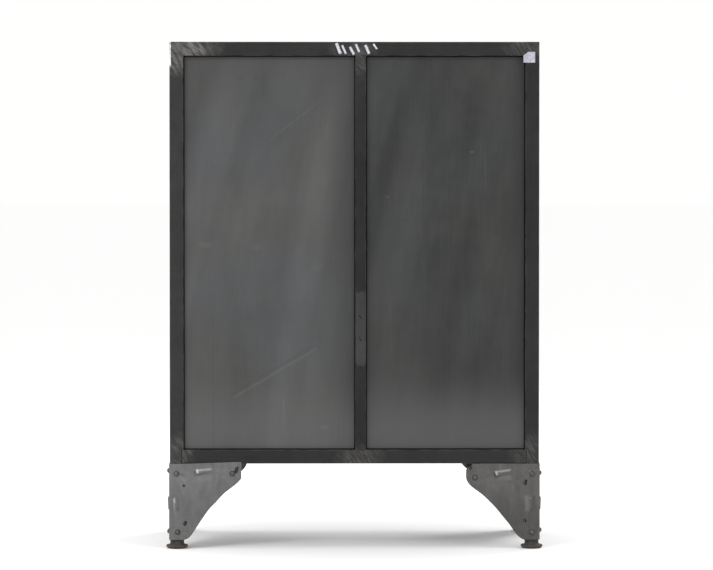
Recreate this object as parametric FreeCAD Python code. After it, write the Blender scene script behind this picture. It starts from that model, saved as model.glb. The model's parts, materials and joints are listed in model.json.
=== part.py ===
import FreeCAD, Part
import math
import os

V = FreeCAD.Vector
os.makedirs("parts", exist_ok=True)

# ----------------------------------------------------------------------------
# Steel storage cabinet: welded square-tube case on four riveted sheet legs.
# +Z up, doors towards -Y, back towards +Y, origin on the floor at the centre.
# All sizes in millimetres.
# ----------------------------------------------------------------------------
W = 841.0          # width over the corner posts
D = 406.0          # depth over the corner posts
H = 1154.0         # top of the case
CASE_Z = 194.0     # underside of the bottom rails
POST_Z = 20.3      # lower end of the corner posts
Y_SHIFT = 10.0     # moves the case back so that the whole object, handle included, is centred

TUBE = 32.0        # frame tube, square
TUBE_WALL = 2.0
TUBE_R = 3.0       # outside corner radius
MID_W = 25.4       # rear centre post, square
MID_X = -14.0      # its centre, a little off the middle
PANEL_T = 1.5      # sheet of the recessed panels
PANEL_RECESS = 14.0
PANEL_FLANGE = 6.0
PANEL_R = 2.5

SHELF_Z = (500.0, 800.0)   # top surfaces of the cleats that carry the shelves
SHELF_T = 1.5
SHELF_FRONT = -148.0
SHELF_REAR = 168.0
SHELF_LIP = 20.0

LEG_T = 2.0        # leg sheet
LEG_WING = 164.8   # length of the shorter wings under the case
LEG_DROP = 173.4   # height of the leg sheet
RIVET_HEAD_R = 6.2
RIVET_HEAD_H = 5.2
RIVET_R = 3.2

DOOR_T = 25.0      # door frame tube, square
DOOR_WALL = 1.5
DOOR_R = 2.5
DOOR_GAP = 2.5     # gap to the case
MEET_GAP = 3.0     # gap between the doors
DOOR_RECESS = 6.0

HINGE_Z = (300.0, 634.0, 968.0)   # lower end of each hinge
HINGE_L = 80.0
HINGE_R = 5.0      # barrel
PIN_R = 2.5
PIN_RUN = 0.08     # running clearance round the pin, radial
LEAF_T = 2.0

LATCH_Z = 690.0
SPINDLE_R = 5.0
BOLT_R = 4.0
FOOT_TRAVEL = 12.25

XO, YO = W / 2, D / 2              # outer faces of the posts
XI, YI = XO - TUBE, YO - TUBE      # inner faces of the posts
FLOOR_IN = CASE_Z + TUBE           # top of the bottom rails
ROOF_IN = H - TUBE                 # underside of the top rails

parts = {}


# ---------------------------------------------------------------- helpers
def box(x0, y0, z0, x1, y1, z1):
    return Part.makeBox(x1 - x0, y1 - y0, z1 - z0, V(x0, y0, z0))


def edges_along(shape, axis):
    """The straight edges of a box that run along one axis."""
    found = []
    for e in shape.Edges:
        d = e.Vertexes[1].Point.sub(e.Vertexes[0].Point)
        if abs(abs([d.x, d.y, d.z][axis]) - d.Length) < 1e-6:
            found.append(e)
    return found


def prism(x0, y0, z0, x1, y1, z1, axis, r):
    """A bar along one axis (0, 1, 2) with its four long edges rounded."""
    b = box(x0, y0, z0, x1, y1, z1)
    return b.makeFillet(r, edges_along(b, axis)) if r > 0 else b


def tube(x0, y0, z0, x1, y1, z1, axis, wall, r):
    lo, hi = [x0, y0, z0], [x1, y1, z1]
    outer = prism(*lo, *hi, axis, r)
    li, hi2 = list(lo), list(hi)
    for i in range(3):
        if i != axis:
            li[i] += wall
            hi2[i] -= wall
    return outer.cut(prism(*li, *hi2, axis, max(r - wall, 0.6)))


def tray(x0, y0, z0, x1, y1, z1, axis, side, t, r):
    """A shallow sheet pan inside the given box. Its face is on the high (side=1) or low (side=-1) end of the axis, and its edges are turned back the box's whole depth."""
    lo, hi = [x0, y0, z0], [x1, y1, z1]
    b = box(*lo, *hi)
    face_at = hi[axis] if side > 0 else lo[axis]

    def rim(shape, at):
        out = []
        for e in shape.Edges:
            p = [e.Vertexes[0].Point, e.Vertexes[1].Point]
            if all(abs([q.x, q.y, q.z][axis] - at) < 1e-6 for q in p):
                out.append(e)
        return out

    outer = b.makeFillet(r, rim(b, face_at) + edges_along(b, axis))
    li, hj = list(lo), list(hi)
    for i in range(3):
        if i != axis:
            li[i] += t
            hj[i] -= t
    if side > 0:
        hj[axis] -= t
        li[axis] -= 5
        at = hj[axis]
    else:
        li[axis] += t
        hj[axis] += 5
        at = li[axis]
    c = box(*li, *hj)
    inner = c.makeFillet(r - t, rim(c, at) + edges_along(c, axis))
    return outer.cut(inner)


def cyl(r, h, at, direction):
    return Part.makeCylinder(r, h, at, direction)


def spun(points, at=V(0, 0, 0)):
    """A solid of revolution about +Z from an outline of (r, z) pairs. An entry of three pairs is an arc: start is the last point, then through, then end."""
    edges, last = [], V(points[0][0], 0, points[0][1])
    first = last
    for p in points[1:]:
        if isinstance(p[0], tuple):
            mid, end = V(p[0][0], 0, p[0][1]), V(p[1][0], 0, p[1][1])
            edges.append(Part.Arc(last, mid, end).toShape())
        else:
            end = V(p[0], 0, p[1])
            edges.append(Part.makeLine(last, end))
        last = end
    if last.sub(first).Length > 1e-6:
        edges.append(Part.makeLine(last, first))
    s = Part.Face(Part.Wire(edges)).revolve(V(0, 0, 0), V(0, 0, 1), 360)
    s = s if s.ShapeType == "Solid" else Part.Solid(s)
    s.translate(at)
    return s


def link_outline(c0, r0, c1, r1, y):
    """Outline in the plane y of two circles joined by their outer tangents; centres are (x, z)."""
    dx, dz = c1[0] - c0[0], c1[1] - c0[1]
    dist = math.hypot(dx, dz)
    base = math.atan2(dz, dx)
    a = math.acos((r0 - r1) / dist)

    def on(c, r, ang):
        return V(c[0] + r * math.cos(ang), y, c[1] + r * math.sin(ang))

    p0, p1 = on(c0, r0, base + a), on(c1, r1, base + a)
    q0, q1 = on(c0, r0, base - a), on(c1, r1, base - a)
    return Part.Wire(
        [
            Part.makeLine(p0, p1),
            Part.Arc(p1, on(c1, r1, base), q1).toShape(),
            Part.makeLine(q1, q0),
            Part.Arc(q0, on(c0, r0, base + math.pi), p0).toShape(),
        ]
    )


def one(shape):
    s = shape.removeSplitter()
    return s.Solids[0] if len(s.Solids) == 1 else s


def group(shapes):
    solids = []
    for s in shapes:
        solids += s.Solids
    return Part.makeCompound(solids)


def fuse(*shapes):
    s = shapes[0]
    for t in shapes[1:]:
        s = s.fuse(t)
    return one(s)


# ---------------------------------------------------------------- frame
corners = {
    "rear_left": (-1, 1),
    "rear_right": (1, 1),
    "front_left": (-1, -1),
    "front_right": (1, -1),
}


def post_box(sx, sy):
    xs = sorted((sx * XI, sx * XO))
    ys = sorted((sy * YI, sy * YO))
    return xs[0], ys[0], xs[1], ys[1]


post_core = {}
for name, (sx, sy) in corners.items():
    x0, y0, x1, y1 = post_box(sx, sy)
    post_core[name] = prism(x0, y0, POST_Z, x1, y1, H, 2, TUBE_R)
    parts["post_" + name] = tube(x0, y0, POST_Z, x1, y1, H - TUBE_WALL, 2, TUBE_WALL, TUBE_R)
cores = list(post_core.values())

parts["post_caps"] = group(
    [prism(*post_box(sx, sy)[:2], H - TUBE_WALL, *post_box(sx, sy)[2:], H, 2, TUBE_R) for sx, sy in corners.values()]
)


def coped(shape, against):
    """Cut a bar's ends to the bars that it is welded to."""
    for a in against:
        shape = shape.cut(a)
    return one(shape)


rail_core = {}
for where, z0 in (("top", H - TUBE), ("bottom", CASE_Z)):
    for name, sy in (("rear", 1), ("front", -1)):
        ys = sorted((sy * YI, sy * YO))
        a = (-XI - TUBE_R, ys[0], z0, XI + TUBE_R, ys[1], z0 + TUBE)
        rail_core[name, where] = prism(*a, 0, TUBE_R)
        parts["rail_%s_%s" % (name, where)] = coped(tube(*a, 0, TUBE_WALL, TUBE_R), cores)
    for name, sx in (("left", -1), ("right", 1)):
        xs = sorted((sx * XI, sx * XO))
        a = (xs[0], -YI - TUBE_R, z0, xs[1], YI + TUBE_R, z0 + TUBE)
        parts["rail_%s_%s" % (name, where)] = coped(
            tube(*a, 1, TUBE_WALL, TUBE_R), cores + [rail_core["rear", where], rail_core["front", where]]
        )

MID_L, MID_R = MID_X - MID_W / 2, MID_X + MID_W / 2
parts["post_rear_centre"] = coped(
    tube(MID_L, YO - MID_W, FLOOR_IN - TUBE_R, MID_R, YO, ROOF_IN + TUBE_R, 2, TUBE_WALL, TUBE_R),
    [rail_core["rear", "top"], rail_core["rear", "bottom"]],
)

# ---------------------------------------------------------------- panels
yp = YO - PANEL_RECESS
parts["panel_rear_left"] = tray(-XI, yp - PANEL_FLANGE, FLOOR_IN, MID_L, yp, ROOF_IN, 1, 1, PANEL_T, PANEL_R)
parts["panel_rear_right"] = tray(MID_R, yp - PANEL_FLANGE, FLOOR_IN, XI, yp, ROOF_IN, 1, 1, PANEL_T, PANEL_R)
xp = XO - PANEL_RECESS
parts["panel_side_left"] = tray(-xp, -YI, FLOOR_IN, -xp + PANEL_FLANGE, YI, ROOF_IN, 0, -1, PANEL_T, PANEL_R)
parts["panel_side_right"] = tray(xp - PANEL_FLANGE, -YI, FLOOR_IN, xp, YI, ROOF_IN, 0, 1, PANEL_T, PANEL_R)
parts["panel_top"] = tray(-XI, -YI, H - PANEL_FLANGE, XI, YI, H, 2, 1, PANEL_T, PANEL_R)
parts["panel_bottom"] = tray(-XI, -YI, FLOOR_IN - PANEL_FLANGE, XI, YI, FLOOR_IN, 2, 1, PANEL_T, PANEL_R)

# ---------------------------------------------------------------- shelves and their cleats
cleats = []
for z in SHELF_Z:
    for s in (-1, 1):
        flat = sorted((s * (XI - 20), s * XI))
        wall = sorted((s * (XI - 2), s * XI))
        cleats.append(
            fuse(
                box(flat[0], -YI - 5.5, z - 2, flat[1], YO - 21.5, z),
                box(wall[0], -YI - 5.5, z - 20, wall[1], YO - 21.5, z),
            )
        )
    yb = YO - MID_W
    cleats.append(fuse(box(MID_L, yb - 20, z - 2, MID_R, yb, z), box(MID_L, yb - 2, z - 20, MID_R, yb, z)))
parts["shelf_cleats"] = group(cleats)


def shelf(z):
    """Sheet shelf: front edge turned down, back edge turned up, flat ends that lie on the cleats."""
    r, t, lip = 3.0, SHELF_T, SHELF_LIP
    y0, y1 = SHELF_FRONT, SHELF_REAR
    zt, zb = z + t, z
    h = math.sqrt(0.5)
    x = -(XI - 23)

    def P(y, zz):
        return V(x, y, zz)

    e = [
        Part.makeLine(P(y0, zt - lip), P(y0, zt - r)),
        Part.Arc(P(y0, zt - r), P(y0 + r - r * h, zt - r + r * h), P(y0 + r, zt)).toShape(),
        Part.makeLine(P(y0 + r, zt), P(y1 - r, zt)),
        Part.Arc(
            P(y1 - r, zt), P(y1 - r + (r - t) * h, zt + (r - t) * (1 - h)), P(y1 - t, zt + r - t)
        ).toShape(),
        Part.makeLine(P(y1 - t, zt + r - t), P(y1 - t, zb + lip)),
        Part.makeLine(P(y1 - t, zb + lip), P(y1, zb + lip)),
        Part.makeLine(P(y1, zb + lip), P(y1, zb + r)),
        Part.Arc(P(y1, zb + r), P(y1 - r + r * h, zb + r - r * h), P(y1 - r, zb)).toShape(),
        Part.makeLine(P(y1 - r, zb), P(y0 + r, zb)),
        Part.Arc(
            P(y0 + r, zb), P(y0 + r - (r - t) * h, zb - (r - t) + (r - t) * h), P(y0 + t, zb - (r - t))
        ).toShape(),
        Part.makeLine(P(y0 + t, zb - (r - t)), P(y0 + t, zt - lip)),
        Part.makeLine(P(y0 + t, zt - lip), P(y0, zt - lip)),
    ]
    body = Part.Face(Part.Wire(e)).extrude(V(2 * (XI - 23), 0, 0))
    ends = [box(s[0], y0 + r, zb, s[1], y1 - r, zt) for s in ((-(XI - 1), x + 1), (-x - 1, XI - 1))]
    return fuse(body, *ends)


parts["shelf_lower"] = shelf(SHELF_Z[0])
parts["shelf_upper"] = shelf(SHELF_Z[1])

# ---------------------------------------------------------------- legs
OUT = LEG_T                        # the leg sheet lies on the outside of the post

# The sheets are cut and punched by hand, so no two are quite alike. u runs in from the corner and v down from the case.
WING_SQUARE = {
    "reach": LEG_WING,
    "curve": [(LEG_WING, 33.5), (155.2, 44), (138.2, 57.6), (121.6, 71.2), (109.4, 84.9), (95.8, 98.5), (84.9, 112.1), (75.5, 125.8), (66.3, 139.4), (57.4, 153.1), (48, 166.2), (34.5, 173.4)],
    "rise": 4.3,               # the top edge laps over the bottom rail towards the inner end
    "snip": None,
    "rivets": ((17.0, 23.0), (144.5, 22.7), (20.0, 156.0)),
    "slots": (((34, 50), 6.2, 5.6, 0), ((154, 14), 16.0, 8.5, -70), ((36.4, 136), 12.0, 8.0, -70)),
    # pressed darts: from a to b, radius and lift at each end
    "beads": (((68.0, 18.5), (93.0, 14.5), 8.8, 5.0, 4.2, 2.2), ((14.0, 80.0), (14.0, 102.0), 7.4, 6.0, 3.2, 2.4)),
}
WING_SNIPPED = {
    "reach": 168.5,
    "curve": [(168.5, 31), (163.5, 43.9), (148.8, 57.6), (130.5, 71.2), (116, 84.9), (102.7, 98.5), (91.2, 112.1), (79.9, 125.8), (68.8, 139.4), (59.5, 153.1), (48.5, 166.2), (36, 173.4)],
    "rise": 0.0,
    "snip": ((151.5, 0.0), (168.5, 14.0)),     # the inner top corner is cut off
    "rivets": ((17.4, 23.5), (148.0, 32.0), (18.0, 157.0)),
    "slots": (((33, 42.5), 13.0, 8.0, 80), ((157.8, 9.4), 9.5, 7.5, -70), ((34.3, 130), 9.5, 7.5, -70)),
    "beads": (((98.0, 24.0), (71.0, 18.0), 8.4, 4.6, 4.0, 2.0), ((19.5, 83.0), (19.0, 103.0), 9.0, 7.0, 2.8, 2.2)),
}
WINGS = {       # (the wing on the back or front, the wing on the side)
    "rear_left": (WING_SNIPPED, dict(WING_SQUARE, rise=0.0, drop=161.0, rivets=((16.5, 22.0), (144.0, 24.0), (19.0, 152.5)))),
    "rear_right": (WING_SQUARE, dict(WING_SQUARE, rise=0.0, rivets=((17.0, 16.5), (144.0, 24.0), (19.0, 155.0)))),
    "front_left": (WING_SQUARE, dict(WING_SNIPPED, rivets=((17.0, 19.0), (147.0, 31.0), (18.5, 156.0)))),
    "front_right": (WING_SNIPPED, dict(WING_SQUARE, rise=0.0)),
}


def wing_outline(point, wing):
    """The outline of one wing. point(u, v) places a point u in from the outer edge and v below the case."""
    drop = wing.get("drop", LEG_DROP)
    curve = [c for c in wing["curve"] if c[1] < drop - 3]
    if drop < LEG_DROP:
        curve.append((curve[-1][0] - 10, drop))
    else:
        curve.append(wing["curve"][-1])
    spline = Part.BSplineCurve()
    spline.interpolate([point(u, v) for u, v in curve])
    pts = [(curve[-1][0], drop)]
    if drop < LEG_DROP:
        pts.append((8, drop))
    pts += [(8, LEG_DROP), (-4, LEG_DROP), (-4, -8), (LEG_T + 0.5, -8), (LEG_T + 0.5, 0), (TUBE, 0)]
    reach = wing["reach"]
    if wing["snip"]:
        pts += list(wing["snip"])
    else:
        pts += [(reach - 1.5, -wing["rise"]), (reach, -wing["rise"] + 1.5)]
    pts.append(curve[0])
    edges = [spline.toShape()]
    for a, b in zip(pts, pts[1:]):
        pa, pb = point(*a), point(*b)
        if pa.sub(pb).Length > 1e-6:
            edges.append(Part.makeLine(pa, pb))
    return Part.Face(Part.Wire(edges))


def pill(c, length, width, angle, put, direction):
    """A slot-shaped punch, centred at (u, v), its long side turned by angle from the u direction."""
    r = width / 2
    k = length / 2 - r
    ca, sa = math.cos(math.radians(angle)), math.sin(math.radians(angle))
    a = (c[0] - k * ca, c[1] - k * sa)
    b = (c[0] + k * ca, c[1] + k * sa)
    n = (-sa * r, ca * r)
    pa, pb = put(a[0] + n[0], a[1] + n[1]), put(b[0] + n[0], b[1] + n[1])
    qa, qb = put(a[0] - n[0], a[1] - n[1]), put(b[0] - n[0], b[1] - n[1])
    ea, eb = put(a[0] - ca * r, a[1] - sa * r), put(b[0] + ca * r, b[1] + sa * r)
    w = Part.Wire([Part.makeLine(pa, pb), Part.Arc(pb, eb, qb).toShape(), Part.makeLine(qb, qa), Part.Arc(qa, ea, pa).toShape()])
    return Part.Face(w).extrude(direction * 12)


def bead(a, b, ra, rb, lift_a, lift_b, outward, t):
    """A pressed dart between a and b on the sheet's outer face, tapering from one end to the other: (what to add, what to cut away)."""
    p, q = a - outward * (ra - lift_a), b - outward * (rb - lift_b)
    d = q - p
    length = d.Length
    along = V(d.x, d.y, d.z).normalize()

    def pod(inset):
        r1, r2 = ra - inset, rb - inset
        k = (r1 - r2) / length
        c = math.sqrt(1 - k * k)
        cone = Part.makeCone(r1 * c, r2 * c, length - r1 * k + r2 * k, p + along * (r1 * k), along)
        return Part.makeSphere(r1, p).fuse(Part.makeSphere(r2, q)).fuse(cone).removeSplitter()

    return pod(0), pod(t)


def half_space(origin, outward, size=400):
    """A large block on the outer side of a plane through origin."""
    b = Part.makeBox(size, size, size, V(-size / 2, -size / 2, 0))
    rot = FreeCAD.Rotation(V(0, 0, 1), outward)
    b.Placement = FreeCAD.Placement(origin, rot)
    return b


def rivet(origin, outward, stack):
    """Round-head rivet: head on the outer face, shank through the stack, upset tail behind it."""
    rs = (RIVET_HEAD_R ** 2 + RIVET_HEAD_H ** 2) / (2 * RIVET_HEAD_H)
    m = RIVET_HEAD_R * 0.72
    zm = math.sqrt(rs * rs - m * m) - (rs - RIVET_HEAD_H)
    s = spun(
        [
            (0, RIVET_HEAD_H),
            ((m, zm), (RIVET_HEAD_R, 0.0)),
            (RIVET_R, 0.0),
            (RIVET_R, -stack),
            (RIVET_R + 1.5, -stack),
            (RIVET_R + 1.0, -stack - 1.8),
            (0, -stack - 1.8),
        ]
    )
    s.Placement = FreeCAD.Placement(origin, FreeCAD.Rotation(V(0, 0, 1), outward))
    return s


def shank(origin, outward, stack):
    return Part.makeCylinder(RIVET_R, stack + 6, origin + outward * 3, outward * -1)


rivets, leg_cleats = [], []
punches = []
for name, (sx, sy) in corners.items():
    cx, cy = sx * (XO + OUT), sy * (YO + OUT)      # outer faces of the leg sheet
    xs = sorted((cx, cx - sx * 300))
    ys = sorted((cy, cy - sy * 300))
    zb, zt = CASE_Z - LEG_DROP, CASE_Z + 6
    outer = box(xs[0], ys[0], zb, xs[1], ys[1], zt)
    inner_x = sorted((sx * XO, cx - sx * 320))
    inner_y = sorted((sy * YO, cy - sy * 320))
    inner = box(inner_x[0], inner_y[0], zb - 5, inner_x[1], inner_y[1], zt + 5)

    def corner_edge(shape, x, y):
        return [e for e in edges_along(shape, 2) if abs(e.Vertexes[0].Point.x - x) < 1e-6 and abs(e.Vertexes[0].Point.y - y) < 1e-6]

    outer = outer.makeFillet(TUBE_R + LEG_T, corner_edge(outer, cx, cy))
    inner = inner.makeFillet(TUBE_R, corner_edge(inner, sx * XO, sy * YO))
    sheet = outer.cut(inner)

    def on_back(u, v):      # on the wing that faces +Y or -Y
        return V(cx - sx * u, cy, CASE_Z - v)

    def on_side(u, v):      # on the wing that faces +X or -X
        return V(cx, cy - sy * u, CASE_Z - v)

    def back_punch(u, v):
        return V(cx - sx * u, cy + sy * 4, CASE_Z - v)

    def side_punch(u, v):
        return V(cx + sx * 4, cy - sy * u, CASE_Z - v)

    on_wing = (
        (WINGS[name][0], on_back, back_punch, V(0, sy, 0)),
        (WINGS[name][1], on_side, side_punch, V(sx, 0, 0)),
    )
    for wing, place, put, outward in on_wing:
        sheet = sheet.common(wing_outline(put, wing).extrude(outward * -400))
    kx, ky = sorted((cx + sx * 1, cx - sx * TUBE)), sorted((cy + sy * 1, cy - sy * TUBE))
    sheet = sheet.cut(box(kx[0], ky[0], CASE_Z, kx[1], ky[1], CASE_Z + 20))
    for wing, place, put, outward in on_wing:
        for end_a, end_b, ra, rb, lift_a, lift_b in wing["beads"]:
            a, b = place(*end_a), place(*end_b)
            add, cut = bead(a, b, ra, rb, lift_a, lift_b, outward, LEG_T)
            add = add.common(half_space(a - outward * 0.5, outward))
            cut = cut.common(half_space(a - outward * LEG_T, outward))
            sheet = sheet.fuse(add).cut(cut)
    for wing, place, put, outward in on_wing:
        for c, length, width, angle in wing["slots"]:
            sheet = sheet.cut(pill(c, length, width, angle, put, outward * -1))
    cl = []
    c0, c1 = LEG_WING - 32, LEG_WING - 13
    xa, xb = sorted((cx - sx * c0, cx - sx * c1))
    ya, yb2 = sorted((sy * YO, sy * (YO - 3)))
    yc, yd = sorted((sy * YO, sy * (YO - 28)))
    cl.append(fuse(box(xa, ya, CASE_Z - 42, xb, yb2, CASE_Z), box(xa, yc, CASE_Z - 3, xb, yd, CASE_Z)))
    ya, yb2 = sorted((cy - sy * c0, cy - sy * c1))
    xa, xb = sorted((sx * XO, sx * (XO - 3)))
    xc, xd = sorted((sx * XO, sx * (XO - 28)))
    cl.append(fuse(box(xa, ya, CASE_Z - 42, xb, yb2, CASE_Z), box(xc, ya, CASE_Z - 3, xd, yb2, CASE_Z)))
    for wing, place, put, outward in on_wing:
        for (u, v), stack in zip(wing["rivets"], (LEG_T + TUBE_WALL, LEG_T + 3.0, LEG_T + TUBE_WALL)):
            p = place(u, v)
            rivets.append(rivet(p, outward, stack))
            punches.append(shank(p, outward, stack))
            sheet = sheet.cut(punches[-1])
            cl = [c.cut(punches[-1]) for c in cl]
            if stack == LEG_T + TUBE_WALL:
                parts["post_" + name] = parts["post_" + name].cut(punches[-1])
    leg_cleats += cl
    parts["leg_" + name] = one(sheet)
    parts["post_" + name] = one(parts["post_" + name])
parts["leg_cleats"] = group(leg_cleats)
parts["leg_rivets"] = group(rivets)

# ---------------------------------------------------------------- feet
STEM_R = 6.0
THREAD_RUN = 0.06
PC_X, PC_Y = XO - TUBE / 2, YO - TUBE / 2      # centre line of the posts
nuts = []
for name, (sx, sy) in corners.items():
    at = V(sx * PC_X, sy * PC_Y, 0)
    w = TUBE / 2 - TUBE_WALL
    nut = prism(at.x - w, at.y - w, POST_Z, at.x + w, at.y + w, POST_Z + 8, 2, TUBE_R - TUBE_WALL)
    nuts.append(nut.cut(cyl(STEM_R, 30, V(at.x, at.y, POST_Z - 5), V(0, 0, 1))))
    parts["foot_pad_" + name] = spun(
        [
            (0, 0),
            (17.0, 0),
            ((21.771, 1.414), (25.0, 5.2)),
            ((24.3, 7.6), (22.0, 8.7)),
            ((17.8, 9.8), (15.8, 12.2)),
            (15.8, 14.9),
            (7.2, 14.9),
            (7.2, 10.3),
            (9.8, 10.3),
            (9.8, 3.7),
            (0, 3.7),
        ],
        at,
    )
    stem = spun(
        [
            (0, 4.0),
            (8.0, 4.0),
            ((9.2, 4.6), (9.5, 6.0)),
            (9.5, 10.0),
            (6.9, 10.0),
            (6.9, 15.2),
            (15.4, 15.2),
            (16.1, 15.9),
            (16.1, 19.2),
            (15.4, 19.9),
            (STEM_R - THREAD_RUN, 19.9),
            (STEM_R - THREAD_RUN, 74.0),
            (STEM_R - 1.2, 75.2),
            (0, 75.2),
        ],
        at,
    )
    # two spanner flats on the collar
    for s in (-1, 1):
        y0, y1 = sorted((at.y + s * 13.8, at.y + s * 18))
        stem = stem.cut(box(at.x - 20, y0, 15.0, at.x + 20, y1, 20.1))
    parts["foot_stem_" + name] = one(stem)
parts["foot_nuts"] = group(nuts)

# ---------------------------------------------------------------- doors
YF = -YO                                   # front plane of the case and doors
YB = YF + DOOR_T                           # back of the door frames
DZ0, DZ1 = FLOOR_IN + DOOR_GAP, ROOF_IN - DOOR_GAP
AX_X, AX_Y = XI - DOOR_GAP / 2, YF - HINGE_R     # hinge axis

for side, s in (("left", -1), ("right", 1)):
    x_meet, x_hinge = s * MEET_GAP / 2, s * (XI - DOOR_GAP)
    a0, a1 = sorted((x_hinge, x_hinge - s * DOOR_T))
    b0, b1 = sorted((x_meet, x_meet + s * DOOR_T))
    stile_h = tube(a0, YF, DZ0, a1, YB, DZ1, 2, DOOR_WALL, DOOR_R)
    stile_m = tube(b0, YF, DZ0, b1, YB, DZ1, 2, DOOR_WALL, DOOR_R)
    core = [prism(a0, YF, DZ0, a1, YB, DZ1, 2, DOOR_R), prism(b0, YF, DZ0, b1, YB, DZ1, 2, DOOR_R)]
    i0, i1 = sorted((x_meet + s * DOOR_T, x_hinge - s * DOOR_T))
    rails = []
    for z in (DZ0, DZ1 - DOOR_T):
        rails.append(coped(tube(i0 - DOOR_R, YF, z, i1 + DOOR_R, YB, z + DOOR_T, 0, DOOR_WALL, DOOR_R), core))
    if side == "right":
        stile_m = one(stile_m.cut(cyl(SPINDLE_R + 0.1, 60, V(x_meet + s * DOOR_T / 2, YF - 20, LATCH_Z), V(0, 1, 0))))
    parts["door_%s_hinge_stile" % side] = stile_h
    parts["door_%s_meeting_stile" % side] = stile_m
    parts["door_%s_rails" % side] = group(rails)
    yd = YF + DOOR_RECESS
    parts["door_%s_panel" % side] = tray(
        i0, yd, DZ0 + DOOR_T, i1, yd + PANEL_FLANGE, DZ1 - DOOR_T, 1, -1, PANEL_T, PANEL_R
    )

# ---------------------------------------------------------------- hinges
K = HINGE_L / 3
fixed, pins = [], []
moving = {"left": [], "right": []}
for side, s in (("left", -1), ("right", 1)):
    ax = s * AX_X
    for z in HINGE_Z:
        spans = [(z, z + K - 0.25), (z + 2 * K + 0.25, z + HINGE_L)]
        leaf0, leaf1 = sorted((s * (AX_X + 5.9), s * (AX_X + 27)))
        f = prism(leaf0, YF - LEAF_T, z, leaf1, YF, z + HINGE_L, 1, 2.0)
        for z0, z1 in spans:
            arm0, arm1 = sorted((ax, s * (AX_X + 9)))
            f = f.fuse(box(arm0, YF - LEAF_T, z0, arm1, YF, z1)).fuse(cyl(HINGE_R, z1 - z0, V(ax, AX_Y, z0), V(0, 0, 1)))
        f = f.cut(cyl(PIN_R, HINGE_L + 20, V(ax, AX_Y, z - 10), V(0, 0, 1)))
        fixed.append(one(f))
        z0, z1 = z + K + 0.25, z + 2 * K - 0.25
        leaf0, leaf1 = sorted((s * (AX_X - 5.9), s * (AX_X - 24)))
        m = prism(leaf0, YF - LEAF_T, z, leaf1, YF, z + HINGE_L, 1, 2.0)
        arm0, arm1 = sorted((ax, s * (AX_X - 9)))
        m = m.fuse(box(arm0, YF - LEAF_T, z0, arm1, YF, z1)).fuse(cyl(HINGE_R, z1 - z0, V(ax, AX_Y, z0), V(0, 0, 1)))
        m = m.cut(cyl(PIN_R + PIN_RUN, HINGE_L + 20, V(ax, AX_Y, z - 10), V(0, 0, 1)))
        moving[side].append(one(m))
        pins.append(
            spun(
                [
                    (0, HINGE_L + 2.4),
                    ((2.6, HINGE_L + 1.616), (PIN_R + 1.6, HINGE_L)),
                    (PIN_R, HINGE_L),
                    (PIN_R, -1.5),
                    (PIN_R - 0.7, -2.2),
                    (0, -2.2),
                ],
                V(ax, AX_Y, z),
            )
        )
parts["hinge_leaves_fixed"] = group(fixed)
parts["hinge_leaves_door_left"] = group(moving["left"])
parts["hinge_leaves_door_right"] = group(moving["right"])
parts["hinge_pins"] = group(pins)

# ---------------------------------------------------------------- latch
LX = MEET_GAP / 2 + DOOR_T / 2
ESC_T = 3.0
esc = cyl(22.0, ESC_T, V(LX, YF - ESC_T, LATCH_Z), V(0, 1, 0))
rim_edges = [e for e in esc.Edges if e.Length > 100 and abs(e.BoundBox.YMin - (YF - ESC_T)) < 1e-6]
esc = esc.makeFillet(1.4, rim_edges)
esc = esc.common(box(0.6 + MEET_GAP / 2, YF - 10, LATCH_Z - 40, LX + 11.4, YF + 1, LATCH_Z + 40))
parts["handle_escutcheon"] = one(esc.cut(cyl(SPINDLE_R + 0.1, 20, V(LX, YF - 12, LATCH_Z), V(0, 1, 0))))

HY = YF - ESC_T - 0.4              # inner end of the handle's hub
lever = Part.Face(link_outline((LX, LATCH_Z), 11.0, (LX, LATCH_Z - 92), 6.5, HY - 22.0)).extrude(V(0, 8.5, 0))
lever = lever.makeFillet(2.4, [e for e in lever.Edges if abs(e.BoundBox.YMin - e.BoundBox.YMax) < 1e-6])
hub = cyl(9.5, 16.0, V(LX, HY - 16.0, LATCH_Z), V(0, 1, 0))
spindle = cyl(SPINDLE_R, YB + 2.5 - (HY - 2), V(LX, HY - 2, LATCH_Z), V(0, 1, 0))
square = box(LX - 3.5, YB + 2.0, LATCH_Z - 3.5, LX + 3.5, YB + 6.5, LATCH_Z + 3.5)
peen = cyl(6.5, 1.8, V(LX, YB + 5.5, LATCH_Z), V(0, 1, 0))
parts["handle"] = fuse(lever, hub, spindle, square, peen)
tongue = Part.Face(link_outline((LX, LATCH_Z), 10.0, (LX, LATCH_Z + 31), 7.0, YB + 2.5)).extrude(V(0, 3.0, 0))
parts["latch_tongue"] = one(tongue.cut(box(LX - 3.5, YB, LATCH_Z - 3.5, LX + 3.5, YB + 8, LATCH_Z + 3.5)))
parts["latch_strike"] = prism(-LX - 10.5, YB, LATCH_Z - 20, -LX + 10.5, YB + 2.0, LATCH_Z + 20, 1, 2.0)

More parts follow.
